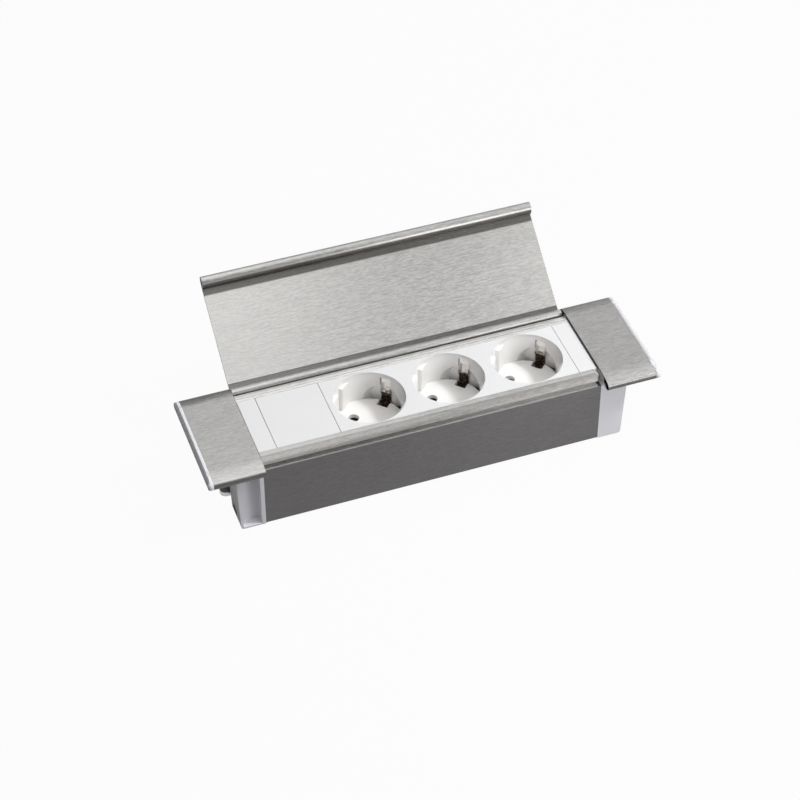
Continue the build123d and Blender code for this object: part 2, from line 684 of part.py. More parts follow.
# The power inlet
def inlet_housing():
    """The inlet's shroud and flange in the rear wall."""
    y1 = body_half + INLET_FLANGE_THICKNESS
    y0 = body_half - INLET_DEPTH
    half_x = INLET_WIDTH / 2
    half_z = INLET_HEIGHT / 2
    shroud = block(inlet_x - half_x, inlet_x + half_x, y0, y1, inlet_z - half_z, inlet_z + half_z)
    flange = block(inlet_x - half_x - INLET_FLANGE, inlet_x + half_x + INLET_FLANGE, body_half, y1,
                   inlet_z - half_z - INLET_FLANGE, inlet_z + half_z + INLET_FLANGE)
    flange = fillet(flange.edges().filter_by(Axis.Y), INLET_CORNER)
    room = block(inlet_x - half_x + INLET_SHELL, inlet_x + half_x - INLET_SHELL, y1 - INLET_SOCKET_DEPTH, y1,
                 inlet_z - half_z + INLET_SHELL, inlet_z + half_z - INLET_SHELL)
    room = chamfer(room.edges().filter_by(Axis.Y), INLET_ROOM_CORNER)
    housing = shroud + flange - room
    for i in (-1, 0, 1):
        x = inlet_x + i * INLET_PIN_PITCH
        housing -= rod_y(INLET_PIN_RADIUS, x, y0, y1 - INLET_SOCKET_DEPTH, inlet_z)
    return housing


def inlet_pin(place):
    """One pin of the inlet; place counts from the middle one."""
    y0 = body_half - INLET_DEPTH - INLET_PIN_BACK
    y1 = body_half + INLET_FLANGE_THICKNESS - INLET_PIN_INSET
    return rod_y(INLET_PIN_RADIUS, inlet_x + place * INLET_PIN_PITCH, y0, y1, inlet_z)


# The end caps
def cap_outline(inset):
    """The cap's end outline in X and Z, with its sloped outer wall moved in by inset."""
    x0 = body_end
    low = body_end + CAP_REACH_LOW - inset
    high = body_end + CAP_REACH_HIGH - inset
    return (x0, body_bottom), (low, body_bottom), (high, WALL_TOP), (x0, WALL_TOP)


def end_cap():
    """The right end cap, with its open pocket at the rear."""
    cap = along_y(polygon(*cap_outline(0)), -body_half, body_half)
    corner = cap.edges().filter_by(Axis.Y).sort_by(Axis.X)[2:].sort_by(Axis.Z)[0]
    cap = fillet(corner, CAP_CORNER)
    wall_x = body_end + CAP_PLATE
    reach = body_end + CAP_REACH_HIGH + PAST
    cap -= block(wall_x, reach, -channel_half, channel_half, body_bottom, bridge_bottom)
    cap -= block(clamp_x + UPPER_BRIDGE_PAST, reach, -channel_half, channel_half, bridge_bottom, WALL_TOP)
    inner_face = polygon(*cap_outline(CAP_THIN_WALL))
    floor_z = body_bottom + CAP_FLOOR
    inside = along_y(inner_face, -body_half, body_half) & block(wall_x, reach, -body_half, body_half,
                                                                floor_z, WALL_TOP)
    pocket = inside & block(wall_x - LAP, reach, body_half - POCKET_DEPTH, body_half, floor_z,
                            WALL_TOP - CAP_TOP_WEB)
    core_y0 = channel_half + CAP_WALL
    rear_core = inside & block(wall_x, reach, core_y0, body_half - POCKET_DEPTH - CAP_WALL, floor_z, WALL_TOP)
    front_core = inside & block(wall_x, reach, -body_half + CAP_WALL, -core_y0, floor_z, WALL_TOP)
    cap = cap - pocket - rear_core - front_core
    for side in (-1, 1):
        cap -= rod_x(CAP_SCREW_RADIUS + SCREW_HOLE_GAP, body_end, wall_x, side * CAP_SCREW_Y, tube_z)
        cap -= rod_x(SCREW_HEAD_RADIUS + SEAT_GAP, wall_x + CAP_HEAD_REST, reach, side * CAP_SCREW_Y, tube_z)
        rib_y0 = NUT_TONGUE / 2 + MOVING_GAP
        rib = block(wall_x - LAP, wall_x + TONGUE_RIB_REACH, rib_y0, rib_y0 + TONGUE_RIB,
                    lower_bridge_top - LAP, bridge_bottom + LAP)
        cap += rib if side > 0 else mirror(rib, about=Plane.XZ)
    cap += block(wall_x - LAP, clamp_x + LOWER_BRIDGE_PAST, -LOWER_BRIDGE_HALF, LOWER_BRIDGE_HALF,
                 body_bottom, lower_bridge_top)
    cap -= post(CLAMP_SCREW_RADIUS + RUNNING, clamp_x, 0, body_bottom - PAST, WALL_TOP + PAST)
    return cap


def cap_screws():
    """The two screws that hold the right end cap."""
    screws = []
    head_x = body_end + CAP_PLATE
    for side in (-1, 1):
        y = side * CAP_SCREW_Y
        screw = rod_x(CAP_SCREW_RADIUS, head_x - CAP_SCREW_LENGTH, head_x + LAP, y, tube_z)
        head = rod_x(SCREW_HEAD_RADIUS, head_x, head_x + SCREW_HEAD_HEIGHT, y, tube_z)
        slot_x = head_x + SCREW_HEAD_HEIGHT
        slot = block(slot_x - SCREW_SLOT_DEPTH, slot_x + PAST, y - SCREW_SLOT_HALF, y + SCREW_SLOT_HALF,
                     tube_z - SCREW_SLOT_WIDTH / 2, tube_z + SCREW_SLOT_WIDTH / 2)
        screws.append(screw + head - slot)
    return Compound(children=screws)


# The worktop clamps
def clamp_screw():
    """The right clamp's long screw."""
    seat = WALL_TOP + CLAMP_HEAD_LIFT
    cut_z = WALL_TOP + CLAMP_HEAD_HEIGHT
    screw = post(CLAMP_SCREW_RADIUS, clamp_x, 0, body_bottom + CLAMP_FOOT, seat + LAP)
    head = post(CLAMP_HEAD_RADIUS, clamp_x, 0, seat, cut_z)
    top = head.faces().sort_by(Axis.Z)[-1].edges()
    head = chamfer(top, CLAMP_HEAD_EDGE)
    for angle in (0, 90):
        head -= Pos(clamp_x, 0, cut_z) * Rot(0, 0, angle) * Box(CROSS_LENGTH, CROSS_WIDTH, 2 * CROSS_DEPTH)
    return screw + head


def clamp_nut():
    """The right clamp's threaded block with the collar that the claw turns on."""
    half = NUT_SIDE / 2
    nut = block(clamp_x - half, clamp_x + half, -half, half, nut_block_bottom, nut_block_top)
    nut = chamfer(nut.edges().filter_by(Axis.Z), NUT_CORNER)
    nut += block(body_end + CAP_PLATE + NUT_TONGUE_GAP, clamp_x, -NUT_TONGUE / 2, NUT_TONGUE / 2,
                 nut_block_bottom, nut_block_top)
    nut += post(NUT_COLLAR_RADIUS, clamp_x, 0, nut_bottom, nut_block_bottom + LAP)
    nut += post(NUT_WASHER_RADIUS, clamp_x, 0, nut_bottom, nut_bottom + NUT_WASHER)
    return nut - post(CLAMP_SCREW_RADIUS + RUNNING, clamp_x, 0, nut_bottom - PAST, nut_block_top + PAST)


def clamp_claw():
    """The right clamp's claw, swung out over the worktop's underside."""
    hub = post(NUT_COLLAR_RADIUS + CLAW_HUB_WALL, clamp_x, 0, claw_bottom, claw_top)
    half = CLAW_WIDTH / 2
    tip_x = clamp_x + CLAMP_REACH - half
    arm = block(clamp_x, tip_x, -half, half, claw_bottom, claw_top)
    tip = post(half, tip_x, 0, claw_bottom, claw_top)
    tooth = post(half, tip_x, 0, claw_top - LAP, claw_top + CLAW_TOOTH)
    tooth &= block(clamp_x + CLAW_TOOTH_START, tip_x + CLAW_WIDTH, -half, half, claw_top - LAP,
                   claw_top + CLAW_TOOTH)
    claw = hub + arm + tip + tooth
    return claw - post(NUT_COLLAR_RADIUS + RUNNING, clamp_x, 0, claw_bottom - PAST, claw_top + PAST)


# Writing the pieces
def write(name, shape):
    """Saves one named piece."""
    export_step(shape, "parts/" + name + ".step")


os.makedirs("parts", exist_ok=True)
write("body_trough", body_trough())
write("rear_rail", rail(-body_end, body_end))
write("front_rail", mirror(rail(-body_end, body_end - FRONT_RAIL_SHORT), about=Plane.XZ))
write("lid", lid())
for name, shape in (
    ("cover", cover()), ("cover_trim", cover_trim()), ("cover_frame", cover_frame()),
    ("hinge_pin", hinge_pin()),
):
    write("right_" + name, shape)
    write("left_" + name, mirrored(shape))
for name, shape in (
    ("end_cap", end_cap()), ("cap_screws", cap_screws()), ("clamp_screw", clamp_screw()),
    ("clamp_nut", clamp_nut()), ("clamp_claw", clamp_claw()),
):
    write("right_" + name, shape)
    write("left_" + name, turned(shape))
filler = plate(-body_end + FIT_GAP, -body_end + FILLER_WIDTH - PLATE_GAP / 2, FILLER_SKIRT)
write("left_filler", filler)
write("right_filler", mirrored(filler))
write("blank_plate", blank_plate())
write("socket_face", socket_face())
write("socket_carrier", socket_carrier())
rear_pin_y = pin_places(0)[0][1]
write("live_bar", power_bar(rear_pin_y))
write("neutral_bar", power_bar(-rear_pin_y))
write("earth_bar", earth_bar())
for i, x in enumerate(socket_x):
    number = str(i + 1)
    rear, front = pin_places(x)
    write("live_contact_" + number, contact(*rear))
    write("neutral_contact_" + number, contact(*front))
    write("earth_clip_" + number, earth_clip(x))
write("inlet_housing", inlet_housing())
for name, place in (("live", 1), ("earth", 0), ("neutral", -1)):
    write("inlet_pin_" + name, inlet_pin(place))
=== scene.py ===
"""Looks of the built-in worktop socket: finishes, fine detail, light and camera."""
import json
import math

import bmesh
import bpy
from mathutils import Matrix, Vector


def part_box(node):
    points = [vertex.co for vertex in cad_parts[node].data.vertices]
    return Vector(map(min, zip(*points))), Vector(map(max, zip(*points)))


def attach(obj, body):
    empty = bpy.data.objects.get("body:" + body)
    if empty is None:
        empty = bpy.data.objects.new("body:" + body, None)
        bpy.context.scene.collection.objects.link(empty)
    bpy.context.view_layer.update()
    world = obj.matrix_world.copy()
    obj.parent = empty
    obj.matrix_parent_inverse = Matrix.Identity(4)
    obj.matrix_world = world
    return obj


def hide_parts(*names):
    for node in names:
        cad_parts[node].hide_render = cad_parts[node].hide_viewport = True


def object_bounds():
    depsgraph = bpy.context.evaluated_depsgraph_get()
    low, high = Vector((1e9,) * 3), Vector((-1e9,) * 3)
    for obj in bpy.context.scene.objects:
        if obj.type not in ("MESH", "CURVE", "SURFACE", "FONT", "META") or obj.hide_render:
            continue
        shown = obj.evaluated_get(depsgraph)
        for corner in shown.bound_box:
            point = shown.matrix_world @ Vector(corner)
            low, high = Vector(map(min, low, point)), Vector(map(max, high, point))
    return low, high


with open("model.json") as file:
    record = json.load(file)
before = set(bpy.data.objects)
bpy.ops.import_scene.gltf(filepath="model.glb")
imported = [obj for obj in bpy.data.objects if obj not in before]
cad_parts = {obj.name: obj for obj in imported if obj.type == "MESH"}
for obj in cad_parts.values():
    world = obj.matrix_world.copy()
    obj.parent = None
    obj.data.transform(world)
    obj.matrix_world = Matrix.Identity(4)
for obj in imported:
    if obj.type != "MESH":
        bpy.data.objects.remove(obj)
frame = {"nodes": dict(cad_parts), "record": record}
cad_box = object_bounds()
nodes = frame["nodes"]
scene = bpy.context.scene

# Metres: the radius of sharp edges, the depth of fine relief, and tolerances
EDGE = 0.00016
RELIEF = 0.00003
SAME_PLANE = 1e-6
SAME_POINT = 1e-7


# Node helpers
class Graph:
    """A material's node tree, with short ways to add and join nodes."""

    def __init__(self, name):
        self.material = bpy.data.materials.new(name)
        self.material.use_nodes = True
        self.tree = self.material.node_tree
        self.shader = self.tree.nodes["Principled BSDF"]

    def add(self, kind, **settings):
        node = self.tree.nodes.new("ShaderNode" + kind)
        for key, value in settings.items():
            setattr(node, key, value)
        return node

    def join(self, source, target):
        self.tree.links.new(source, target)

    def set(self, **values):
        for key, value in values.items():
            self.shader.inputs[key.replace("_", " ")].default_value = value

    def noise(self, scale, detail=3.0, rough=0.5, offset=(0, 0, 0)):
        """A noise pattern in object space, with its own stretch per metre along each axis."""
        coords = self.add("TexCoord")
        mapping = self.add("Mapping")
        mapping.inputs["Scale"].default_value = scale
        mapping.inputs["Location"].default_value = offset
        self.join(coords.outputs["Object"], mapping.inputs["Vector"])
        node = self.add("TexNoise")
        node.inputs["Scale"].default_value = 1.0
        node.inputs["Detail"].default_value = detail
        node.inputs["Roughness"].default_value = rough
        self.join(mapping.outputs["Vector"], node.inputs["Vector"])
        return node.outputs["Fac"]

    def axes(self, vector):
        """The X, Y and Z of a vector."""
        apart = self.add("SeparateXYZ")
        self.join(vector, apart.inputs["Vector"])
        return apart.outputs

    def place(self):
        """The X, Y and Z of the place in the object, in metres."""
        return self.axes(self.add("TexCoord").outputs["Object"])

    def facing(self):
        """The X, Y and Z of the surface's normal in the object."""
        return self.axes(self.add("TexCoord").outputs["Normal"])

    def ramp(self, source, *stops):
        """A colour ramp of (place, grey or colour) stops."""
        node = self.add("ValToRGB")
        elements = node.color_ramp.elements
        while len(elements) < len(stops):
            elements.new(0.5)
        for element, (place, value) in zip(elements, stops):
            element.position = place
            colour = value if isinstance(value, tuple) else (value, value, value)
            element.color = (*colour, 1.0)
        self.join(source, node.inputs["Fac"])
        return node.outputs["Color"]

    def fit(self, source, low, high, to_low, to_high):
        """Maps a number from one range to another."""
        node = self.add("MapRange")
        limits = {"From Min": low, "From Max": high, "To Min": to_low, "To Max": to_high}
        for key, value in limits.items():
            node.inputs[key].default_value = value
        self.join(source, node.inputs["Value"])
        return node.outputs["Result"]

    def math(self, operation, a, b):
        """One operation on two sources or numbers."""
        node = self.add("Math", operation=operation)
        for socket, value in zip(node.inputs, (a, b)):
            if isinstance(value, (int, float)):
                socket.default_value = value
            else:
                self.join(value, socket)
        return node.outputs["Value"]

    def mix(self, factor, a, b, blend="MIX"):
        """Mixes two colours."""
        node = self.add("Mix", data_type="RGBA", blend_type=blend)
        for key, value in (("Factor", factor), ("A", a), ("B", b)):
            socket = node.inputs[key]
            if isinstance(value, (int, float)):
                socket.default_value = value
            elif isinstance(value, tuple):
                socket.default_value = (*value, 1.0)
            else:
                self.join(value, socket)
        return node.outputs["Result"]

    def paint_shade(self, share, tone, shade):
        """Paints shade: multiplies a tone by a shade where share is 1."""
        return self.mix(share, tone, self.mix(1.0, tone, shade, "MULTIPLY"))

    def relief(self, height, strength, distance=RELIEF):
        """Bumps the surface by a height source, and rounds its sharp edges."""
        rounded = self.add("Bevel", samples=4)
        rounded.inputs["Radius"].default_value = EDGE
        node = self.add("Bump")
        node.inputs["Strength"].default_value = strength
        node.inputs["Distance"].default_value = distance
        self.join(height, node.inputs["Height"])
        self.join(rounded.outputs["Normal"], node.inputs["Normal"])
        self.join(node.outputs["Normal"], self.shader.inputs["Normal"])


# Painted shade: tones that multiply the brushed tone where shade or dark reflections fall
FRONT_STRIP_SHADE = (0.29, 0.28, 0.272)
REAR_STRIP_SHADE = (0.32, 0.32, 0.315)
ROLL_INSIDE_SHADE = (0.7, 0.69, 0.68)
KNUCKLE_SHADE = (0.36, 0.35, 0.345)
CUT_EDGE_SHADE = (0.3, 0.295, 0.29)
UNDERSIDE_SHADE = (0.25, 0.246, 0.242)
REAR_CURL_SHADE = (0.34, 0.335, 0.33)
RAIL_SLOPE_SHADE = (0.56, 0.555, 0.55)
RAIL_LINE_SHADE = (0.45, 0.44, 0.43)

# The lid's hinge, and how far it stands open at rest
HINGE = (0.0, 0.0302, 0.0024)
LID_OPEN = math.radians(142.0)

# Painted shade strips beside the lid's rolls, in metres from the hinge along the closed lid: from, to,
# how soft each end is, and their shade
LID_STRIPS = ((-0.0603, -0.0549, 0.0002, 0.0004, FRONT_STRIP_SHADE),
              (-0.00535, -0.0024, 0.0001, 0.0002, REAR_STRIP_SHADE))
ROLL_PLACE = (-0.0603, -0.0601)
KNUCKLE_PLACE = (-0.0046, -0.0044)

# The rear rail's painted shade line, standing for a groove's shade: from and to in Y, and how soft
# each end is
REAR_LINE = (0.0218, 0.0221, 0.00005, 0.00005)

# Noise per metre along X, Y and Z
FINE_GRAIN = (400.0, 2700.0, 2700.0)
BROAD_GRAIN = (150.0, 1500.0, 1500.0)
METAL_CLOUD = (14.0, 45.0, 45.0)
PLASTIC_SKIN = (3200.0, 3200.0, 3200.0)
PLASTIC_CLOUD = (45.0, 45.0, 45.0)
PLATED_CLOUD = (190.0, 190.0, 190.0)
SPRING_SCRATCH = (500.0, 500.0, 2600.0)
SPRING_BANDS = (330.0, 330.0, 900.0)

# How strongly each metal's grain stands out, and how much brushing stretches its gloss
BRUSHED_RELIEF = 0.12
PLATED_RELIEF = 0.2
SPRING_RELIEF = 0.3
SPRING_DEPTH = 0.00004
BRUSHED_STRETCH = 0.72


def band(g, source, low, high, low_soft, high_soft):
    """1 between two places and 0 outside them, with soft ends."""
    rise = g.fit(source, low - low_soft, low + low_soft, 0.0, 1.0)
    fall = g.fit(source, high - high_soft, high + high_soft, 1.0, 0.0)
    return g.math("MULTIPLY", rise, fall)


def in_lid_frame(g, kind, origin):
    """The object's place or normal in the frame of the closed lid, as X, Y and Z."""
    turned = g.add("Mapping", vector_type="TEXTURE")
    turned.inputs["Location"].default_value = origin
    turned.inputs["Rotation"].default_value = (-LID_OPEN, 0.0, 0.0)
    g.join(g.add("TexCoord").outputs[kind], turned.inputs["Vector"])
    return g.axes(turned.outputs["Vector"])


def cut_edges(g, tone):
    """Painted shade on the sheet's cut ends, which face along X."""
    end = g.fit(g.math("ABSOLUTE", g.facing()["X"], 0.0), 0.5, 0.8, 0.0, 1.0)
    return g.paint_shade(end, tone, CUT_EDGE_SHADE)


def lid_shades(g, tone):
    """Painted shade on the steps beside the lid's rolls, on the roll's inner side and on the hinge's
    knuckle.
    """
    tone = cut_edges(g, tone)
    along = in_lid_frame(g, "Object", HINGE)["Y"]
    facing = in_lid_frame(g, "Normal", (0.0, 0.0, 0.0))
    under = g.fit(facing["Z"], -0.2, 0.0, 1.0, 0.0)
    for *limits, shade in LID_STRIPS:
        tone = g.paint_shade(g.math("MULTIPLY", band(g, along, *limits), under), tone, shade)
    # Painted shade on the front roll's inner side
    inside = g.math("MULTIPLY", g.fit(facing["Y"], 0.1, 0.75, 0.0, 1.0),
                    g.fit(along, *ROLL_PLACE, 1.0, 0.0))
    tone = g.paint_shade(inside, tone, ROLL_INSIDE_SHADE)
    # Painted shade on the side of the hinge knuckle that faces the deck when open
    knuckle = g.math("MULTIPLY", g.fit(facing["Y"], 0.35, 0.85, 0.0, 1.0),
                     g.fit(along, *KNUCKLE_PLACE, 0.0, 1.0))
    return g.paint_shade(knuckle, tone, KNUCKLE_SHADE)


def rail_shades(g, tone):
    """Painted shade on the rail's slope, darker than its flat top, with a crisp crease between them.
    """
    slope = g.fit(g.facing()["Y"], -0.1, -0.05, 1.0, 0.0)
    return g.paint_shade(slope, tone, RAIL_SLOPE_SHADE)


def rear_rail_shades(g, tone):
    """A fine painted shade line along the rear rail, where it meets the deck."""
    return g.paint_shade(band(g, g.place()["Y"], *REAR_LINE), tone, RAIL_LINE_SHADE)


def cover_shades(g, tone):
    """Painted shade on the underside of the rolled edge and on the rear curl."""
    tone = cut_edges(g, tone)
    facing = g.facing()
    tone = g.paint_shade(g.fit(facing["Y"], 0.04, 0.34, 0.0, 1.0), tone, REAR_CURL_SHADE)
    return g.paint_shade(g.fit(facing["Z"], 0.42, 0.9, 1.0, 0.0), tone, UNDERSIDE_SHADE)


def brushed_metal(name, colour, spread, roughness, shades=None):
    """Metal brushed along X: fine streaks in colour, gloss and relief."""
    g = Graph(name)
    fine = g.noise(FINE_GRAIN, 2.0, 0.6)
    broad = g.noise(BROAD_GRAIN, 2.0, 0.6, (3.1, 1.7, 0.4))
    cloud = g.noise(METAL_CLOUD, 3.0, 0.5, (0.3, 2.2, 5.0))
    streaks = g.math("ADD", g.math("MULTIPLY", fine, 0.55), g.math("MULTIPLY", broad, 0.45))
    low = tuple(c * (1 - spread) for c in colour)
    high = tuple(min(1.0, c * (1 + spread)) for c in colour)
    tone = g.ramp(streaks, (0.4, low), (0.5, colour), (0.6, high))
    tint = g.ramp(cloud, (0.3, 0.96), (0.7, 1.0))
    tone = g.mix(1.0, tone, tint, "MULTIPLY")
    if shades is not None:
        tone = shades(g, tone)
    g.join(tone, g.shader.inputs["Base Color"])
    g.join(g.fit(streaks, 0.4, 0.6, roughness - 0.04, roughness + 0.04), g.shader.inputs["Roughness"])
    g.relief(streaks, BRUSHED_RELIEF)
    tangent = g.add("Tangent", direction_type="RADIAL", axis="X")
    g.join(tangent.outputs["Tangent"], g.shader.inputs["Tangent"])
    g.set(Metallic=1.0, Anisotropic=BRUSHED_STRETCH)
    return g.material


def skin_and_cloud(g):
    """The fine skin texture and the slow tone changes of moulded plastic."""
    return g.noise(PLASTIC_SKIN, 3.0, 0.6), g.noise(PLASTIC_CLOUD, 3.0, 0.5, (1.0, 4.0, 2.0))


def moulded_plastic(name, colour, roughness, texture, specular=0.5):
    """Moulded plastic with a faint skin texture and slight tone changes."""
    g = Graph(name)
    skin, cloud = skin_and_cloud(g)
    low = tuple(c * 0.965 for c in colour)
    g.join(g.ramp(cloud, (0.3, low), (0.7, colour)), g.shader.inputs["Base Color"])
    g.join(g.fit(cloud, 0.3, 0.7, roughness - 0.04, roughness + 0.04), g.shader.inputs["Roughness"])
    g.relief(skin, texture)
    g.set(Metallic=0.0, Specular_IOR_Level=specular)
    return g.material


def plated_metal(name, colour, dark, roughness, scale):
    """Small metal parts: plating with fine scratches and darker patches."""
    g = Graph(name)
    scratch = g.noise((scale, scale * 6, scale * 0.8), 4.0, 0.7)
    cloud = g.noise(PLATED_CLOUD, 3.0, 0.55, (2.0, 0.0, 7.0))
    tone = g.ramp(g.math("ADD", g.math("MULTIPLY", scratch, 0.45), g.math("MULTIPLY", cloud, 0.55)),
                  (0.38, dark), (0.58, colour))
    g.join(tone, g.shader.inputs["Base Color"])
    g.join(g.fit(cloud, 0.3, 0.7, roughness - 0.05, roughness + 0.1), g.shader.inputs["Roughness"])
    g.relief(scratch, PLATED_RELIEF)
    g.set(Metallic=1.0)
    return g.material


TARNISH_AND_SHADE = (0.13, 0.095, 0.075)
DULL_STEEL = (0.5, 0.45, 0.4)
BRIGHT_STEEL = (0.8, 0.78, 0.75)
TARNISH_AND_SHADE_DEPTH = (-0.0085, -0.0045)
WELL_DEPTH = (0.0015, 0.0042)


def spring_metal(name):
    """Bright sprung strip, streaked, and darker towards the bottom where it bends out of its recess:
    brown tarnish together with painted shade.
    """
    g = Graph(name)
    scratch = g.noise(SPRING_SCRATCH, 4.0, 0.7)
    bands = g.noise(SPRING_BANDS, 2.0, 0.6, (2.0, 0.0, 7.0))
    depth = g.fit(g.place()["Z"], *TARNISH_AND_SHADE_DEPTH, 0.0, 1.0)
    height = g.math("ADD", depth, g.fit(bands, 0.34, 0.66, -0.5, 0.5))
    tone = g.ramp(height, (0.0, TARNISH_AND_SHADE), (0.4, DULL_STEEL), (0.8, BRIGHT_STEEL))
    g.join(tone, g.shader.inputs["Base Color"])
    g.join(g.fit(bands, 0.3, 0.7, 0.25, 0.45), g.shader.inputs["Roughness"])
    g.relief(scratch, SPRING_RELIEF, SPRING_DEPTH)
    g.set(Metallic=1.0)
    return g.material


def well_plastic(name, colour, warm, roughness, texture):
    """White moulded plastic, painted lighter and warmer down in the wells, standing for the light that
    bounces there.
    """
    g = Graph(name)
    skin, cloud = skin_and_cloud(g)
    inside = g.fit(g.place()["Z"], *WELL_DEPTH, 1.0, 0.0)
    tone = g.mix(1.0, g.mix(inside, colour, warm), g.ramp(cloud, (0.3, 0.975), (0.7, 1.0)), "MULTIPLY")
    g.join(tone, g.shader.inputs["Base Color"])
    g.join(g.fit(cloud, 0.3, 0.7, roughness - 0.03, roughness + 0.04), g.shader.inputs["Roughness"])
    g.relief(skin, texture)
    g.set(Metallic=0.0)
    return g.material


# Painted shade: the trough is a far darker copy of the aluminium, standing for dark reflections on its
# front wall
SHADED_TROUGH = (0.145, 0.14, 0.143)
ALUMINIUM = (0.44, 0.435, 0.428)
SHEET = (0.48, 0.475, 0.465)
# Painted light: the rails are lighter copies of the aluminium, standing for the light on their flat
# tops
LIT_REAR_RAIL = (0.84, 0.835, 0.825)
LIT_FRONT_RAIL = (0.62, 0.613, 0.6)
LIGHT_PLASTIC = (0.84, 0.835, 0.875)
WHITE_PLASTIC = (0.89, 0.892, 0.903)
# Painted light: a lighter, warmer white for the insides of the wells
PAINTED_WELL_LIGHT = (0.965, 0.955, 0.943)
# Painted shade: the carrier is near black, so that pin holes and gaps where it shows read as deep
# shade
SHADE_DARK_CARRIER = (0.045, 0.045, 0.05)
BLACK_PLASTIC = (0.018, 0.018, 0.02)
STEEL = (0.5, 0.5, 0.51)
DARK_STEEL = (0.34, 0.34, 0.36)
BRASS = (0.62, 0.47, 0.2)
DARK_BRASS = (0.42, 0.3, 0.12)
finishes = {
    "trough_aluminium": brushed_metal("trough_shaded_look", SHADED_TROUGH, 0.13, 0.5),
    "aluminium": brushed_metal("aluminium_look", ALUMINIUM, 0.2, 0.36),
    "aluminium_sheet": brushed_metal("sheet_look", SHEET, 0.16, 0.34, cover_shades),
    "light_plastic": moulded_plastic("light_plastic_look", LIGHT_PLASTIC, 0.56, 0.06, 0.12),
    "white_plastic": well_plastic("white_plastic_look", WHITE_PLASTIC, PAINTED_WELL_LIGHT, 0.2, 0.03),
    "carrier_plastic": moulded_plastic("carrier_shade_look", SHADE_DARK_CARRIER, 0.5, 0.12),
    "black_plastic": moulded_plastic("black_plastic_look", BLACK_PLASTIC, 0.42, 0.14),
    "steel": plated_metal("steel_look", STEEL, DARK_STEEL, 0.3, 420.0),
    "spring_steel": spring_metal("spring_look"),
    "brass": plated_metal("brass_look", BRASS, DARK_BRASS, 0.32, 380.0),
}
# Looks of single nodes: painted shade on the lid, and lighter copies of the aluminium with painted
# shade on the rails
looks_with_painted_light = {
    "lid": brushed_metal("lid_look", SHEET, 0.16, 0.34, lid_shades),
    "front_rail": brushed_metal("front_rail_lit_look", LIT_FRONT_RAIL, 0.14, 0.36, rail_shades),
    "rear_rail": brushed_metal("rear_rail_lit_look", LIT_REAR_RAIL, 0.14, 0.36, rear_rail_shades),
}
for part in frame["record"]["subparts"]:
    for socket in nodes[part["node"]].material_slots:
        socket.material = looks_with_painted_light.get(part["node"], finishes[part["material_slot"]])


# Detailed pieces: the clamp screws with real threads, and the trims with their bevel
THREAD_PITCH = 0.0007
THREAD_CREST = 0.002
THREAD_ROOT = 0.00157
THREAD_TIP = 0.0013
THREAD_TIP_LENGTH = 0.0005
THREAD_SIDES = 20
# Share of the pitch and radius of each corner of one turn
THREAD_PROFILE = ((0.083, THREAD_ROOT), (0.4375, THREAD_CREST),
                  (0.5625, THREAD_CREST), (0.917, THREAD_ROOT))
SHANK_LENGTH = 0.0017
HEAD_SEAT = -0.0017
CLAMP_X = 0.103
CAD_BEVEL = 0.0005
TRIM_BEVEL = 0.00125
SHARP_ANGLE = math.radians(35.0)


def add_piece(mesh, node, slot, body):
    """Makes a detailed piece from a mesh, in place of a CAD node."""
    data = bpy.data.meshes.new(f"{node}_detail")
    mesh.to_mesh(data)
    mesh.free()
    data.shade_smooth()
    data.set_sharp_from_angle(angle=SHARP_ANGLE)
    data.materials.append(finishes[slot])
    piece = bpy.data.objects.new(f"{node}_detail", data)
    scene.collection.objects.link(piece)
    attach(piece, body)
    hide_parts(node)


def threaded_shaft(mesh, x, low, seat):
    """Adds a right-handed M4 thread with a bevelled tip and a plain shank, as a closed shell."""
    def point(side, radius, z):
        angle = 2 * math.pi * side / THREAD_SIDES
        return mesh.verts.new((x + radius * math.cos(angle), radius * math.sin(angle), z))

    def ring(radius, z):
        return [point(side, radius, z) for side in range(THREAD_SIDES)]

    def wall(lower, upper):
        for side in range(THREAD_SIDES):
            after = (side + 1) % THREAD_SIDES
            mesh.faces.new((lower[side], lower[after], upper[after], upper[side]))

    start, stop = low + THREAD_TIP_LENGTH, seat - SHANK_LENGTH
    turns = int((stop - start) / THREAD_PITCH) - 1
    columns = [[point(side, radius, start + THREAD_PITCH * (side / THREAD_SIDES + turn + share))
                for turn in range(turns) for share, radius in THREAD_PROFILE]
               for side in range(THREAD_SIDES)]
    tip, foot = ring(THREAD_TIP, low), ring(THREAD_ROOT, start)
    shank, top = ring(THREAD_CREST, stop), ring(THREAD_CREST, seat + EDGE)
    step = len(THREAD_PROFILE)
    for side in range(THREAD_SIDES):
        after = (side + 1) % THREAD_SIDES
        left, right = columns[side], columns[after]
        lag = 0 if after else step
        for k in range(len(left) - 1 - lag):
            mesh.faces.new((left[k], right[k + lag], right[k + lag + 1], left[k + 1]))
        mesh.faces.new((foot[side], foot[after], *right[:lag + 1], left[0]))
        mesh.faces.new((*left[len(left) - 1 - lag:], shank[side], shank[after], right[-1]))
    wall(tip, foot)
    wall(shank, top)
    mesh.faces.new(tip)
    mesh.faces.new(top)


def close_holes(mesh):
    """Fills each open rim of a mesh with one face."""
    rims = [edge for edge in mesh.edges if edge.is_boundary]
    bmesh.ops.holes_fill(mesh, edges=rims, sides=0)


def clamp_screw(side, x):
    """The CAD head on a shaft with a thread."""
    node = f"{side}_clamp_screw"
    mesh = bmesh.new()
    mesh.from_mesh(nodes[node].data)
    shaft = [f for f in mesh.faces if min(v.co.z for v in f.verts) < HEAD_SEAT - SAME_PLANE]
    bmesh.ops.delete(mesh, geom=shaft, context="FACES")
    bmesh.ops.remove_doubles(mesh, verts=mesh.verts, dist=SAME_POINT)
    close_holes(mesh)
    threaded_shaft(mesh, x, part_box(node)[0][2], HEAD_SEAT)
    bmesh.ops.recalc_face_normals(mesh, faces=mesh.faces)
    add_piece(mesh, node, "steel", f"{side}_screw")


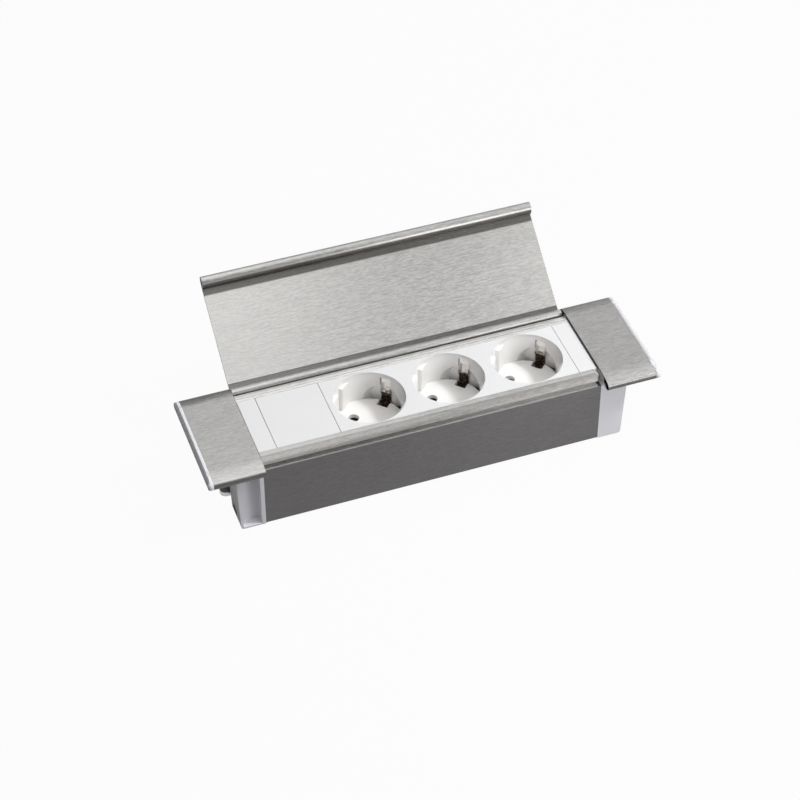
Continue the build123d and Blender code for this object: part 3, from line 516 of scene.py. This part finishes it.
def cover_trim(side, sign):
    """The CAD trim with the wide bevel of the moulded one round its outer face."""
    node = f"{side}_cover_trim"
    low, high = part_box(node)
    outer_x = low[0] if sign < 0 else high[0]
    rim_x = outer_x - sign * CAD_BEVEL
    mesh = bmesh.new()
    mesh.from_mesh(nodes[node].data)
    bmesh.ops.remove_doubles(mesh, verts=mesh.verts, dist=SAME_POINT)
    outer = [v for v in mesh.verts if abs(v.co.x - outer_x) < SAME_PLANE]
    rim = [v for v in mesh.verts if abs(v.co.x - rim_x) < SAME_PLANE]
    face = [f for f in mesh.faces if all(abs(v.co.x - outer_x) < SAME_PLANE for v in f.verts)]
    bmesh.ops.delete(mesh, geom=face, context="FACES_ONLY")
    roots = [min(rim, key=lambda r: (r.co - v.co).length) for v in outer]
    for v, root in zip(outer, roots):
        for axis in (1, 2):
            v.co[axis] = root.co[axis] + (v.co[axis] - root.co[axis]) * TRIM_BEVEL / CAD_BEVEL
    for v in rim:
        v.co.x = outer_x - sign * TRIM_BEVEL
    close_holes(mesh)
    bmesh.ops.recalc_face_normals(mesh, faces=mesh.faces)
    add_piece(mesh, node, "light_plastic", "housing")


clamp_screw("left", -CLAMP_X)
clamp_screw("right", CLAMP_X)
cover_trim("left", -1)
cover_trim("right", 1)


# The floor and the light
FLOOR_COLOUR = (0.37, 0.37, 0.37, 1.0)
FLOOR_GLOW_SHARE = 0.96
FLOOR_GAP = 0.0002
FLOOR_RADIUS = 3.2
FLOOR_STEPS = 96
# Radius less than the floor's, and height, of each ring of the rim
FLOOR_PROFILE = ((0.4, 0.0), (0.2, 0.05), (0.05, 0.2), (0.0, 0.4), (0.0, 0.95))
SKY_COLOUR = (1.0, 0.98, 0.96, 1.0)
SKY_STRENGTH = 0.1


def area_light(name, place, target, size, brightness):
    """A rectangular soft light aimed at a point, with the brightness of its face."""
    data = bpy.data.lights.new(name, "AREA")
    data.shape = "RECTANGLE"
    data.size, data.size_y = size
    data.energy = brightness * math.pi * size[0] * size[1]
    lamp = bpy.data.objects.new(name, data)
    lamp.location = place
    lamp.rotation_euler = (Vector(target) - Vector(place)).to_track_quat("-Z", "Y").to_euler()
    lamp.visible_camera = False
    scene.collection.objects.link(lamp)
    return lamp


def studio_look():
    """Pale matt paint that shows white and keeps a soft shadow."""
    g = Graph("studio_look")
    matt = g.add("BsdfDiffuse")
    matt.inputs["Color"].default_value = FLOOR_COLOUR
    glow = g.add("Emission")
    path = g.add("LightPath")
    seen = path.outputs["Is Camera Ray"]
    for ray in ("Is Glossy Ray", "Is Transmission Ray"):
        seen = g.math("MAXIMUM", seen, path.outputs[ray])
    blend = g.add("MixShader")
    g.join(g.math("MULTIPLY", seen, FLOOR_GLOW_SHARE), blend.inputs[0])
    g.join(matt.outputs["BSDF"], blend.inputs[1])
    g.join(glow.outputs["Emission"], blend.inputs[2])
    g.join(blend.outputs["Shader"], g.tree.nodes["Material Output"].inputs["Surface"])
    g.tree.nodes.remove(g.shader)
    return g.material


def make_floor(height):
    """A round pale floor that turns up into a low rim all round."""
    turn = 2 * math.pi / FLOOR_STEPS
    rings = [(FLOOR_RADIUS - inset, height + rise) for inset, rise in FLOOR_PROFILE]
    points = [(r * math.cos(turn * i), r * math.sin(turn * i), z)
              for r, z in rings for i in range(FLOOR_STEPS)]
    points.append((0.0, 0.0, height))
    after = [(i + 1) % FLOOR_STEPS for i in range(FLOOR_STEPS)]
    faces = [(len(points) - 1, i, after[i]) for i in range(FLOOR_STEPS)]
    for ring in range(len(FLOOR_PROFILE) - 1):
        low, high = ring * FLOOR_STEPS, (ring + 1) * FLOOR_STEPS
        faces += [(low + i, low + after[i], high + after[i], high + i) for i in range(FLOOR_STEPS)]
    mesh = bpy.data.meshes.new("floor")
    mesh.from_pydata(points, [], faces)
    mesh.polygons.foreach_set("use_smooth", [True] * len(faces))
    mesh.materials.append(studio_look())
    floor = bpy.data.objects.new("floor", mesh)
    scene.collection.objects.link(floor)


make_floor(cad_box[0][2] - FLOOR_GAP)

world = bpy.data.worlds.new("studio")
scene.world = world
world.use_nodes = True
sky = world.node_tree.nodes["Background"]
sky.inputs["Color"].default_value = SKY_COLOUR
sky.inputs["Strength"].default_value = SKY_STRENGTH

# Panels overhead: name, place, size and brightness
PANEL_HEIGHT = 1.3
PANELS = (("front_left_panel", (0.04, -0.6), (0.58, 1.4), 1.85),
          ("front_right_panel", (0.82, -0.6), (0.66, 1.4), 1.25),
          ("rear_left_panel", (0.08, 0.8), (0.56, 1.4), 1.3),
          ("rear_right_panel", (0.78, 0.8), (0.84, 1.4), 0.92))
for name, place, size, brightness in PANELS:
    area_light(name, (*place, PANEL_HEIGHT), (*place, 0.0), size, brightness)

# What metal mirrors of the key light is wider and weaker, so that it doesn't glare
MIDDLE = (0.0, 0.0, 0.0)
KEY_PLACE = (1.5, -0.53, 1.81)
key = area_light("key_light", KEY_PLACE, MIDDLE, (0.32, 0.32), 84.0)
key.visible_glossy = False
sheen = area_light("key_sheen", KEY_PLACE, MIDDLE, (0.8, 0.8), 7.5)
sheen.visible_diffuse = False

# Low lights on the trough's front and on the rear
area_light("front_light", (0.17, -0.3, 0.085), (0.08, 0.0, -0.02), (0.14, 0.07), 9.8)
area_light("rear_fill", (0.95, 1.1, 0.3), MIDDLE, (1.0, 0.5), 1.2)

# The camera, at the place that was fitted to the photograph
CAMERA_PLACE = (-0.30794, -0.83197, 0.83325)
CAMERA_TURN = (46.584, 0.0792, -19.763)
FOCAL_LENGTH = 102.488
lens = bpy.data.cameras.new("camera")
lens.sensor_width = 36.0
lens.lens = FOCAL_LENGTH
lens.clip_start = 0.05
lens.clip_end = 40.0
camera = bpy.data.objects.new("camera", lens)
camera.location = CAMERA_PLACE
camera.rotation_euler = tuple(math.radians(angle) for angle in CAMERA_TURN)
scene.collection.objects.link(camera)
scene.camera = camera

scene.view_settings.view_transform = "Standard"
